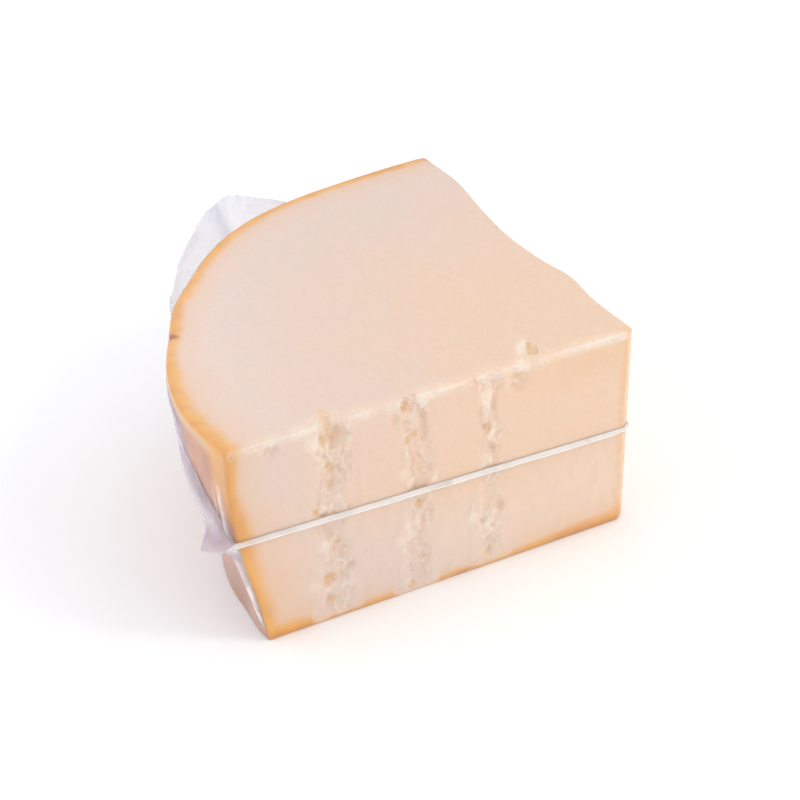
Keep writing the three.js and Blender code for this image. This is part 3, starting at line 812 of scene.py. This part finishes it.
def make_cheese():
    depths = (cheese_front_depth, cheese_split_depth, cheese_rim_depth)
    points, faces, grid, inner, bottom = block_mesh(CHEESE_MESH, depths, 0.0)
    rind, wall, place, level = grid

    hollow_shade, flake_and_highlight, ochre_painted_glow_and_shade = np.zeros((3, *wall.shape))
    for number, marks in ((FRONT, cheese_front_marks), (SPLIT, cheese_split_marks)):
        here = wall == number
        hollow_shade[here], flake_and_highlight[here], ochre_painted_glow_and_shade[here] = marks(place[here], level[here])
    # The upright edge gets the painted warm glow
    ochre_painted_glow_and_shade[wall == TIP] = TIP_GLOW
    drop = BLOCK_HEIGHT - level
    arc = arc_of(place)
    golden_corner = fading(arc, *GOLDEN_ARC) * fading(drop, *GOLDEN_DROP)
    outer = (wall == RIM) * growing(drop, *OUTER_DROP) * (1 - GOLDEN_SHARE * golden_corner)
    scar = (wall == RIM) * scar_share(arc, drop)
    # The cut faces' paste painted warmer than the top's, and cooler low on the front face, standing in for
    # the light on them
    painted_low_cool = (wall == FRONT) * fading(level, *LOW_COOL_UP) * fading(place, *LOW_COOL_ALONG)
    painted_face_tone = np.where(wall == RIM, 0.0, FACE_PAINTED_WARMTH - LOW_PAINTED_COOLNESS * painted_low_cool)

    inside = rim_depth_of(inner)
    top_arc = np.arctan2(inner[:, 1], -inner[:, 0]) * WHEEL_RADIUS
    # The pit's floor painted as shade, its side towards the tip painted ochre as shade, and its other side
    # and the top beside it painted pale as a highlight
    sunk = smooth(pit_drop(inner) / 1.5)
    pit_shaded_side = smooth((pit_place(inner)[0] + 0.28) / 0.3 + 0.5)
    pit_highlight_beside = smooth(1.5 * (1.7 - pit_radius(inner))) * (1 - pit_shaded_side) * (1 - sunk)
    top_painted_highlight = clamp01(pit_highlight_beside + top_edge_painted_shine(inner) + sunk * (1 - pit_shaded_side))
    beside_front = fading(top_arc, 90, 40)
    top_rind = np.maximum(inside - TOP_RIND_FULL, 0) * mix(TOP_RIND_SCALE, NEAR_RIND_SCALE, beside_front)
    top_rind = top_rind - mix(TOP_RIND_BROWN, NEAR_RIND_BROWN, beside_front)
    plain = np.zeros(len(inner))
    values = {
        # Paste pinker towards the rind and warmer inwards, plus the painted tones of the cut faces
        "core_and_painted_face_tone": 1 - np.hypot(points[:, 0], points[:, 1]) / WHEEL_RADIUS + joined(painted_face_tone, plain, bottom),
        "rind": joined(rind, FULL_GOLD + top_rind, bottom),
        "outer": joined(outer, plain, bottom + 1),
        # Painted highlight on the rind's rounded top edge
        "shoulder_highlight": joined(fading(drop, *SHOULDER_HIGHLIGHT_DROP), plain, bottom),
        # Painted shade low on the rind and over its bottom
        "heel": joined(fading(level, *HEEL_SHADE_UP), plain, bottom + 1),
        "hollow_shade": joined(hollow_shade, 0.4 * sunk, bottom),
        "flake_and_highlight": joined(flake_and_highlight, top_painted_highlight, bottom),
        "ochre_painted_glow_and_shade": joined(ochre_painted_glow_and_shade, 0.6 * sunk * pit_shaded_side, bottom),
        "scar": joined(scar, scar_share(top_arc, inside), bottom),
    }
    return make_piece("cheese_block", points, faces, values, cheese_material())


# The film's skin
def front_haze_and_glints(along, z):
    # Milky film over the bands, a painted highlight along the top edge, and painted glints in streaks
    haze_and_painted_sheen = BAND_HAZE * band_shares(FRONT_BANDS, along, z)[0] + EDGE_HAZE * painted_edge_shine(along, BLOCK_HEIGHT - z)
    for at, low, high, half_width, milk in FRONT_PAINTED_GLINTS:
        sway = 1.6 * (lumps(at, z / 8) - 0.5)
        aside = np.abs(along - at - sway) / half_width
        ends = growing(z, low, 4) * fading(z, high, 4)
        haze_and_painted_sheen = haze_and_painted_sheen + milk * smooth(1 - aside) * ends * (0.6 + 0.8 * lumps(along / 3.4, z / 12))
    return haze_and_painted_sheen


def rim_haze_and_sheen(arc, z):
    # Milky film round the rim, with painted sheen in streaks, along the folds and on the side
    clouds = 0.6 + 0.8 * lumps(arc / 7 + z / 30, z / 11)
    patch = growing(z, PATCH_FOOT, 9) * fading(z, WELD_AT_RIND + read_off(TALL_WEB, arc), 5)
    patch = patch * fading(arc, PATCH_TO, 12)
    low_patch = smooth((z - LOW_PATCH_FOOT - LOW_PATCH_CLIMB * arc) / 7) * fading(z, WELD_AT_RIND + 1, 2)
    low_patch = low_patch * fading(arc, LOW_PATCH_TO, 14)
    (start, end), (low, high) = SIDE_HAZE_ARCS, SIDE_HAZE_HEIGHTS
    side = growing(arc, start, 12) * fading(arc, end, 34) * growing(z, low, 12) * fading(z, high, 9)
    haze_and_painted_sheen = RIM_HAZE + (PATCH_HAZE * patch + LOW_PATCH_HAZE * low_patch + SIDE_SHEEN_HAZE * side) * clouds
    haze_and_painted_sheen = haze_and_painted_sheen + RIM_SHEEN_STREAKS * lumps(arc / 4.5 + z / 60, z / 33) ** 3
    for line, half_width, _, milk in rim_folds():
        haze_and_painted_sheen = haze_and_painted_sheen + milk * fold_share(line, half_width, arc, z)
    return np.minimum(haze_and_painted_sheen, MOST_HAZE) * smooth((BLOCK_HEIGHT - z - 1.5) / 3)


def make_film_skin():
    depths = (film_front_depth, film_split_depth, film_rim_depth)
    points, faces, grid, inner, bottom = block_mesh(SKIN_MESH, depths, SKIN_OUT)
    _, wall, place, level = grid

    haze_and_painted_sheen = np.zeros(wall.shape)
    front, split, rim = wall == FRONT, wall == SPLIT, wall == RIM
    haze_and_painted_sheen[front] = front_haze_and_glints(place[front], level[front])
    haze_and_painted_sheen[split] = band_shares(SPLIT_BANDS, place[split], level[split])[0] * BAND_HAZE
    haze_and_painted_sheen[rim] = rim_haze_and_sheen(arc_of(place[rim]), level[rim])
    below = fading(level, weld_height(np.where(front | split, place, 0)), 2)
    haze_and_painted_sheen += BELOW_WELD_HAZE * below * (front * fading(place, 185, 40) + split)
    on_rim = rim * mix(0.3, 1.0, growing(arc_of(place), 8, 20))
    values = {
        "haze_and_painted_sheen": joined(haze_and_painted_sheen, EDGE_HAZE * top_edge_painted_shine(inner), bottom),
        "on_rim": joined(on_rim, np.zeros(len(inner)), bottom),
    }
    return make_piece("film_skin", points, faces, values, skin_material())


# The film's welded edge
def weld_height(along):
    return mix(WELD_AT_TIP, WELD_AT_RIND, clamp01(along / WHEEL_RADIUS))


def hump(share, span):
    """From 0 outside the span to 1 at its peak."""
    rising = growing(share, span["from"], span["peak"] - span["from"])
    falling = fading(share, span["to"], span["to"] - span["peak"])
    return np.where(share <= span["peak"], rising, falling)


def face_fin(along):
    """The fin on a cut face, with the same numbers as rim_fin gives."""
    width = mix(PRESSED_WIDTH, FIN_WIDTH, smooth(along / FIN_TAPER))
    none = 0 * along
    return width, none, WEB_HEIGHT + none, WEB_HEIGHT + none, WELD_JOIN + none, WELD_MILK + none, none


def rim_fin(share):
    """The fin round the rim: its width, how high its edge stands, how far its webs reach up and down, what
    share of its width they close over, how milky its weld is, and how mauve its webs and ears are."""
    ear = STANDING_EAR
    arc = arc_of(share)
    drawn_in = fading(share, ear["to"], ear["to"] - ear["gather"])
    spread = growing(share, ear["from"], ear["full"] - ear["from"]) * drawn_in
    climbed = np.sin(clamp01((share - ear["climb"]) / (ear["peak"] - ear["climb"])) * math.pi / 2)
    fallen = ear["fall"] * clamp01((share - ear["peak"]) / (ear["to"] - ear["peak"]))
    corner, far = read_off(CORNER_OUTLINE, arc), hump(share, FAR_EAR)
    width = PRESSED_WIDTH + corner + FAR_EAR["width"] * far + ear["width"] * spread
    rise = ear["rise"] * climbed * (1 - fallen) * drawn_in
    far_web = FAR_EAR["web"] * far * fading(share, 1, WEB_START)
    above = WEB_HEIGHT + read_off(TALL_WEB, arc) + far_web
    below = WEB_HEIGHT + CORNER_UNDER_WEB * smooth(corner / 12) + far_web
    at_ear = mix(EAR_JOIN, CORNER_JOIN, smooth(corner / 6))
    join = mix(WELD_JOIN, at_ear, growing(width, FIN_WIDTH, 3))
    milk = mix(RIM_WELD_MILK, WELD_MILK, fading(arc, 6, 6))
    return width, rise, above, below, join, milk, fading(arc, MAUVE_TO, MAUVE_FADE)


def fin_sections(base, direction, weld, fin, run):
    """Sections of the fin along one stretch, each a closed outline. base(z) gives the block's own points at a
    height, direction points away from the block, and run is the distance along the fin for its crinkles."""
    width, rise, above, below, join, weld_milk, mauve = (np.asarray(value, float)[:, None] for value in fin)
    weld, run = weld[:, None], run[:, None]
    turn = mix(join, 1.0, np.linspace(0, 1, FIN_STEPS + 1)[None, :])
    angle = turn * math.pi / 2
    ear = growing(width, FIN_WIDTH, 6)
    out = FILM_GAP + FIN_ROOT * smooth(width / FIN_WIDTH) + width * np.sin(angle)
    up = rise * (1 - np.cos(angle)) + 0 * out
    d_out = width * np.cos(angle) + 1e-3
    d_up = rise * np.sin(angle)
    length = np.hypot(d_out, d_up)
    n_out, n_up = -d_up / length, d_out / length
    away = np.hypot(width, rise) * turn
    fold = creases(run / 19 + turn * 0.9, run / 47 + away / 41)
    flats = facets(run / 15 + away / 30, away / 14, 5)
    crinkle = ear * smooth(turn * 1.4) * (EAR_FOLD * (fold - 0.5) + EAR_FLATS * flats)
    crinkle = crinkle * mix(0.12, 1.0, smooth(rise / 30))
    wave = WELD_WAVE * (lumps(run / 9, 3.0) - 0.5) * turn
    out, up = out + n_out * (crinkle + wave), up + n_up * (crinkle + wave)
    thin = mix(WELD_THICKNESS * mix(0.4, 1.0, weld_milk), EAR_THICKNESS, ear * smooth(turn * 4))
    bead = growing(turn, 0.82, 0.18)
    half = thin * (1 + (WELD_BEAD - 1) * bead * (1 - ear) + (EAR_BEAD - 1) * bead * ear) / 2
    ear_milk = EAR_MILK + CORNER_MILK * mauve + EAR_CREASE_MILK * fold ** 4
    blade_milk = mix(weld_milk, ear_milk, ear * smooth(turn * 3)) + EAR_EDGE_MILK * bead * ear

    step = np.linspace(0, 1, WEB_STEPS + 1)[None, :-1]
    pleat = creases(run / 8.5 + 0.8 * step, run / 23 + step)
    foot_out = mix(FOOT_GAP, FILM_GAP, ear)

    def side(sign, reach):
        """One side of the fin, from its web's foot on the cheese to the blade's edge: places out and up, and
        how milky and welded it is. The web is drawn in like stretched film, and looser at an ear."""
        blade_out, blade_up = out + sign * n_out * half, up + sign * n_up * half
        to_out, to_up = blade_out[:, :1], blade_up[:, :1]
        middle_out = FILM_GAP + 0.1 + mix(WELD_SLOPE, EAR_SLOPE, ear) * (to_out - FILM_GAP)
        middle_up = mix(to_up, sign * reach, 0.3 + 0.1 * ear)
        by = 2 * step * (1 - step)
        web_out = (1 - step) ** 2 * foot_out + by * middle_out + step ** 2 * to_out
        web_up = (1 - step) ** 2 * (sign * reach) + by * middle_up + step ** 2 * to_up
        tall = growing(reach, WEB_HEIGHT, 8)
        web_out = web_out + PLEAT_DEPTH * tall * 4 * step * (1 - step) * pleat
        loose = np.maximum(tall, ear)
        at_blade = mix(WELD_WEB_MILK * weld_milk, EAR_WEB_MILK, loose)
        at_block = mix(WELD_FOOT_MILK * weld_milk ** 2, 0.05 + 0.3 * mauve, loose)
        web_milk = mix(at_block, at_blade, step ** mix(0.5, 1.2, loose))
        web_milk = web_milk + PLEAT_MILK * tall * step * pleat ** 3
        webs = web_out, web_up, web_milk, 1 - loose + 0 * step
        blades = blade_out, blade_up, blade_milk, 1 - ear + 0 * turn
        return [np.concatenate(pair, axis=1) for pair in zip(webs, blades)]

    end_out = out[:, -1:] + half[:, -1:] * n_up[:, -1:]
    end_up = up[:, -1:] - half[:, -1:] * n_out[:, -1:]
    end = end_out, end_up, blade_milk[:, -1:], 1 - ear
    back_up = mix(-below, above, np.linspace(0, 1, BACK_STEPS + 2)[None, 1:-1])
    back = foot_out + 0 * back_up, back_up, 0.02 + 0 * back_up, 0 * back_up
    outs, ups, milk, welded = (
        np.concatenate([upper, edge, lower[:, ::-1], behind], axis=1)
        for upper, edge, lower, behind in zip(side(1, above), end, side(-1, below), back)
    )
    on_blade = np.zeros(outs.shape, bool)
    on_blade[:, WEB_STEPS:-WEB_STEPS - BACK_STEPS] = True
    foot = base(np.where(on_blade, weld, weld + ups))[..., :2]
    xy = foot + direction[:, None, :] * outs[..., None]
    points = np.concatenate([xy, (weld + ups)[..., None]], axis=-1)
    return points, milk, welded, np.repeat(mauve, outs.shape[1], axis=1)


def directions(angles):
    """Level directions, from -Y at 0 round to -X at a quarter turn."""
    return np.column_stack([-np.sin(angles), -np.cos(angles)])


def make_film_edge():
    def face_stretch(along, point_of, direction, shift):
        def base(z):
            return point_of(along[:, None] + 0 * z, z, 0.0)

        turned = np.repeat([direction], len(along), axis=0)
        return fin_sections(base, turned, weld_height(along), face_fin(along), along + shift)

    def tip_stretch(turn):
        def base(z):
            return tip_point(turn[:, None] + 0 * z, z, 0.0, 0.0)

        turned = directions(-turn * math.pi / 2)
        return fin_sections(base, turned, WELD_AT_TIP + 0 * turn, face_fin(0 * turn), -turn)

    def rim_stretch(share, angles, fin, run):
        def base(z):
            return rim_point(share[:, None] + 0 * z, z, rim_inset(share[:, None], z))

        return fin_sections(base, directions(angles), np.full(len(share), WELD_AT_RIND), fin, run)

    def corner_stretch(corner_share, angles, from_face, quickness, shift):
        """The fin round an upright corner, from its size on the face to its size on the rim. quickness says
        how soon the rim's wide ear narrows."""
        share = np.full(len(from_face), corner_share)
        away = smooth(clamp01(from_face * quickness))
        on_face = face_fin(np.full(len(from_face), WHEEL_RADIUS))
        fin = [mix(a, b, away) for a, b in zip(rim_fin(share), on_face)]
        return rim_stretch(share, mix(*angles, from_face), fin, shift + 12 * from_face)

    reach = face_end(np.array([[WELD_AT_RIND]]))[0, 0]
    along = np.arange(TIP_RADIUS, reach - 0.5, FIN_SECTION_STEP)
    fan = np.linspace(0, 1, CORNER_FAN + 2)[1:-1]
    arc_length = arc_of(1.0)
    share = np.linspace(1, 0, int(arc_length / FIN_SECTION_STEP))
    runs = (
        face_stretch(along[::-1], front_point, (0.0, -1.0), 0.0),
        tip_stretch(np.linspace(0, 1, 6)[1:-1]),
        face_stretch(along, split_point, (1.0, 0.0), 300.0),
        corner_stretch(1.0, (CUT_ANGLE - 1.5 * math.pi, -math.pi / 2), fan[::-1], 1.3, 600.0),
        rim_stretch(share, math.pi / 2 + share * CUT_ANGLE, rim_fin(share), share * arc_length),
        corner_stretch(0.0, (math.pi / 2, 0.0), fan, 2.6, 0.0),
    )
    sections, milk, welded, mauve = (np.concatenate(parts) for parts in zip(*runs))
    count, size = sections.shape[:2]
    section = np.arange(count)[:, None] * size
    after = np.roll(section, -1, axis=0)
    i, j = np.arange(size)[None, :], np.roll(np.arange(size), -1)[None, :]
    faces = np.stack(np.broadcast_arrays(section + i, section + j, after + j, after + i), axis=-1)
    faces = faces.reshape(-1, 4).tolist()
    values = {"milk": milk, "welded": welded, "mauve": mauve}
    return make_piece("film_edge", sections.reshape(-1, 3), faces, values, edge_material())


# Materials
def linear(colour):
    """A colour for the shaders from 0 to 255 values as seen on a screen."""
    values = [value / 255 for value in colour]
    return (*[v / 12.92 if v <= 0.04045 else ((v + 0.055) / 1.055) ** 2.4 for v in values], 1.0)


class Paint:
    """A new material, and short ways to add nodes to it."""

    def __init__(self, name):
        self.material = bpy.data.materials.new(name)
        self.material.use_nodes = True
        self.tree = self.material.node_tree
        self.place = self.node("ShaderNodeTexCoord").outputs["Object"]

    def fill(self, made, inputs):
        """Sets inputs of a node, by name or number, to values or to other nodes' outputs."""
        for key, value in inputs.items():
            if isinstance(value, bpy.types.NodeSocket):
                self.tree.links.new(value, made.inputs[key])
            else:
                made.inputs[key].default_value = value

    def node(self, kind, inputs=(), **settings):
        made = self.tree.nodes.new(kind)
        for key, value in settings.items():
            setattr(made, key, value)
        self.fill(made, dict(inputs))
        return made

    def maths(self, operation, *values):
        return self.node("ShaderNodeMath", enumerate(values), operation=operation).outputs[0]

    def mix(self, factor, a, b):
        """Two colours mixed, each given as another node's output or as 0 to 255 values."""
        a, b = (linear(colour) if isinstance(colour, tuple) else colour for colour in (a, b))
        return self.node("ShaderNodeMix", {0: factor, 6: a, 7: b}, data_type="RGBA").outputs[2]

    def over(self, base, colour, share, times):
        """A colour laid over a base by the product of two shares."""
        return self.mix(self.maths("MULTIPLY", share, times), base, colour)

    def remap(self, value, low, high, to_low=0.0, to_high=1.0):
        inputs = {0: value, 1: low, 2: high, 3: to_low, 4: to_high}
        return self.node("ShaderNodeMapRange", inputs, interpolation_type="SMOOTHSTEP").outputs[0]

    def attribute(self, name):
        return self.node("ShaderNodeAttribute", attribute_name=name).outputs["Fac"]

    def noise(self, scale, detail, roughness=0.5, place=None):
        inputs = {"Vector": place or self.place, "Scale": scale, "Detail": detail, "Roughness": roughness}
        return self.node("ShaderNodeTexNoise", inputs).outputs["Fac"]

    def bump(self, height, strength, distance):
        inputs = {"Height": height, "Strength": strength, "Distance": distance}
        return self.node("ShaderNodeBump", inputs).outputs[0]

    def finish(self, inputs):
        self.fill(self.tree.nodes["Principled BSDF"], inputs)
        return self.material


def cheese_material():
    paint = Paint("cheese_paste_and_rind")
    uneven = paint.maths("MULTIPLY_ADD", paint.noise(22.0, 3.0), 0.5, -0.25)
    from_rind = paint.maths("ADD", paint.attribute("core_and_painted_face_tone"), uneven)
    paste = paint.mix(paint.remap(from_rind, 0.05, 0.75), PASTE_NEAR_RIND, PASTE_CORE)
    paste = paint.over(paste, PASTE_DEEP, paint.remap(paint.noise(520.0, 4.0), 0.4, 0.62), 0.2)
    # Painted shade in the hollows, ochre spots with a painted warm glow and painted pit shade, and pale
    # flakes with a painted highlight
    hollow_shade = paint.attribute("hollow_shade")
    patchy = paint.remap(paint.noise(300.0, 3.0), 0.3, 0.6, 0.45, 1.0)
    broken = paint.over(paste, HOLLOW_SHADE_TAN, hollow_shade, 0.6)
    broken = paint.over(broken, OCHRE_GLOW_AND_SHADE, paint.attribute("ochre_painted_glow_and_shade"), patchy)
    broken = paint.over(broken, FLAKE_AND_HIGHLIGHT_PALE, paint.attribute("flake_and_highlight"), 0.7)

    wobble = paint.maths("MULTIPLY_ADD", paint.noise(60.0, 4.0), 5.0, -2.5)
    depth = paint.maths("ADD", paint.attribute("rind"), wobble)
    golden = paint.mix(paint.remap(depth, 0.5, 4.5), RIND_BROWN, RIND_GOLD)
    golden = paint.mix(paint.remap(paint.noise(70.0, 4.0), 0.42, 0.64, 0.0, 0.4), golden, RIND_BROWN)
    broken = paint.mix(paint.remap(depth, 6.0, 22.0, 0.42, 0.0), broken, RIND_PEACH)
    cut = paint.mix(paint.remap(depth, 3.5, 9.5, 1.0, 0.0), broken, golden)

    mottle = paint.remap(paint.noise(48.0, 5.0, 0.6), 0.38, 0.64)
    rind = paint.mix(mottle, OUTER_RIND, OUTER_RIND_DARK)
    rind = paint.over(rind, OUTER_RIND_SPECK, paint.remap(paint.noise(320.0, 2.0), 0.6, 0.72), 0.35)
    # Uneven patches of the painted shade low on the rind
    worn = paint.remap(paint.noise(95.0, 4.0), 0.36, 0.6, 0.3, 1.0)
    rind = paint.over(rind, HEEL_SHADE_BROWN, paint.attribute("heel"), worn)
    # The shoulder painted lighter peach as a highlight
    rind = paint.mix(paint.attribute("shoulder_highlight"), rind, SHOULDER_HIGHLIGHT_PEACH)
    colour = paint.mix(paint.attribute("outer"), cut, rind)
    colour = paint.mix(paint.attribute("scar"), colour, SCAR_BROWN)
    relief = paint.maths("MULTIPLY_ADD", paint.noise(260.0, 3.0), 1.6, paint.noise(1300.0, 3.0))
    return paint.finish({
        "Base Color": colour, "Roughness": paint.remap(hollow_shade, 0.0, 1.0, 0.42, 0.7),
        "Normal": paint.bump(relief, 0.25, 0.00025),
        "Subsurface Weight": 0.35, "Subsurface Radius": (1.0, 0.6, 0.35), "Subsurface Scale": 0.0022,
        "Coat Weight": 0.6, "Coat Roughness": 0.2, "Coat IOR": 1.45,
    })


def skin_material():
    paint = Paint("clear_film")
    streaks = paint.node("ShaderNodeMapping", {"Vector": paint.place, "Scale": (1.0, 1.0, 0.4)}).outputs[0]
    drawn = paint.remap(paint.noise(190.0, 3.0, place=streaks), 0.4, 0.66, 0.75, 1.25)
    haze_and_painted_sheen = paint.maths("MULTIPLY", paint.attribute("haze_and_painted_sheen"), drawn)
    return paint.finish({
        "Base Color": paint.mix(paint.attribute("on_rim"), FACE_TINT, RIM_TINT), "Roughness": 0.3,
        "IOR": 1.45, "Alpha": paint.maths("ADD", haze_and_painted_sheen, SKIN_ALPHA),
        "Normal": paint.bump(paint.noise(120.0, 3.0), 0.25, 0.0004),
    })


def edge_material():
    paint = Paint("welded_film")
    cloud = paint.remap(paint.noise(60.0, 3.0), 0.35, 0.65, 0.85, 1.12)
    alpha = paint.maths("MULTIPLY", paint.attribute("milk"), cloud)
    clear = paint.mix(paint.attribute("mauve"), EAR_TINT, CORNER_TINT)
    return paint.finish({
        "Base Color": paint.mix(paint.attribute("welded"), clear, WELD_TINT), "Roughness": 0.22, "IOR": 1.5,
        "Alpha": paint.node("ShaderNodeClamp", {0: alpha}).outputs[0],
        "Normal": paint.bump(paint.noise(160.0, 4.0), 0.3, 0.0005),
        "Subsurface Weight": 0.7, "Subsurface Radius": (1.0, 1.0, 1.0), "Subsurface Scale": 0.0015,
    })


# Floor, light and camera
def make_floor():
    bpy.ops.mesh.primitive_plane_add(size=12.0)
    floor = bpy.context.object
    floor.name = "floor"
    glow = {"Emission Color": FLOOR_WHITE, "Emission Strength": FLOOR_GLOW}
    pale = Paint("pale_floor").finish({"Base Color": FLOOR_WHITE, "Roughness": 0.9, **glow})
    floor.data.materials.append(pale)


def add_light(name, spot, aim, size, power, colour):
    lamp = bpy.data.lights.new(name, "AREA")
    lamp.shape = "SQUARE"
    lamp.size = size
    lamp.energy = power
    lamp.color = colour
    light = bpy.data.objects.new(name, lamp)
    bpy.context.scene.collection.objects.link(light)
    light.location = spot
    light.rotation_euler = (Vector(aim) - Vector(spot)).to_track_quat("-Z", "Y").to_euler()
    light.visible_camera = False


def make_lights():
    world = bpy.data.worlds.new("soft_room")
    bpy.context.scene.world = world
    world.use_nodes = True
    background = world.node_tree.nodes["Background"]
    background.inputs["Color"].default_value = (1.0, 1.0, 1.0, 1.0)
    background.inputs["Strength"].default_value = ROOM_LIGHT
    for light in LIGHTS:
        add_light(*light)


def make_camera():
    lens = bpy.data.cameras.new("camera")
    lens.sensor_width = CAMERA_SENSOR
    lens.lens = CAMERA_LENS
    camera = bpy.data.objects.new("camera", lens)
    bpy.context.scene.collection.objects.link(camera)
    turn = Matrix.Rotation(-CAMERA_AZIMUTH, 4, "Z")
    tilt = Matrix.Rotation(math.pi / 2 - CAMERA_ELEVATION, 4, "X")
    roll = Matrix.Rotation(CAMERA_ROLL, 4, "Z")
    spot = (Vector(CAMERA_SPOT) + Vector(PART_SHIFT)) * MM
    camera.matrix_world = Matrix.Translation(spot) @ turn @ tilt @ roll
    bpy.context.scene.camera = camera


# From the frame of the wheel to the part's own: the cheese's box has the rim's furthest point at its left
WIDEST_HEIGHT = 102.8
rim_shares = np.linspace(0, 1, 400)
rim_reach = (rim_radius(rim_shares) - rim_inset(rim_shares, WIDEST_HEIGHT)) * np.cos(rim_shares * CUT_ANGLE)
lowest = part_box("cheese")[0] / MM
PART_SHIFT = np.array([lowest.x + rim_reach.max(), lowest.y, 0.0])

make_camera()
make_lights()
make_floor()
for piece, slot in ((make_cheese(), "cheese"), (make_film_skin(), "film"), (make_film_edge(), "film")):
    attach(piece, "root")
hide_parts("cheese")
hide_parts("film")
bpy.context.scene.view_settings.view_transform = "Standard"
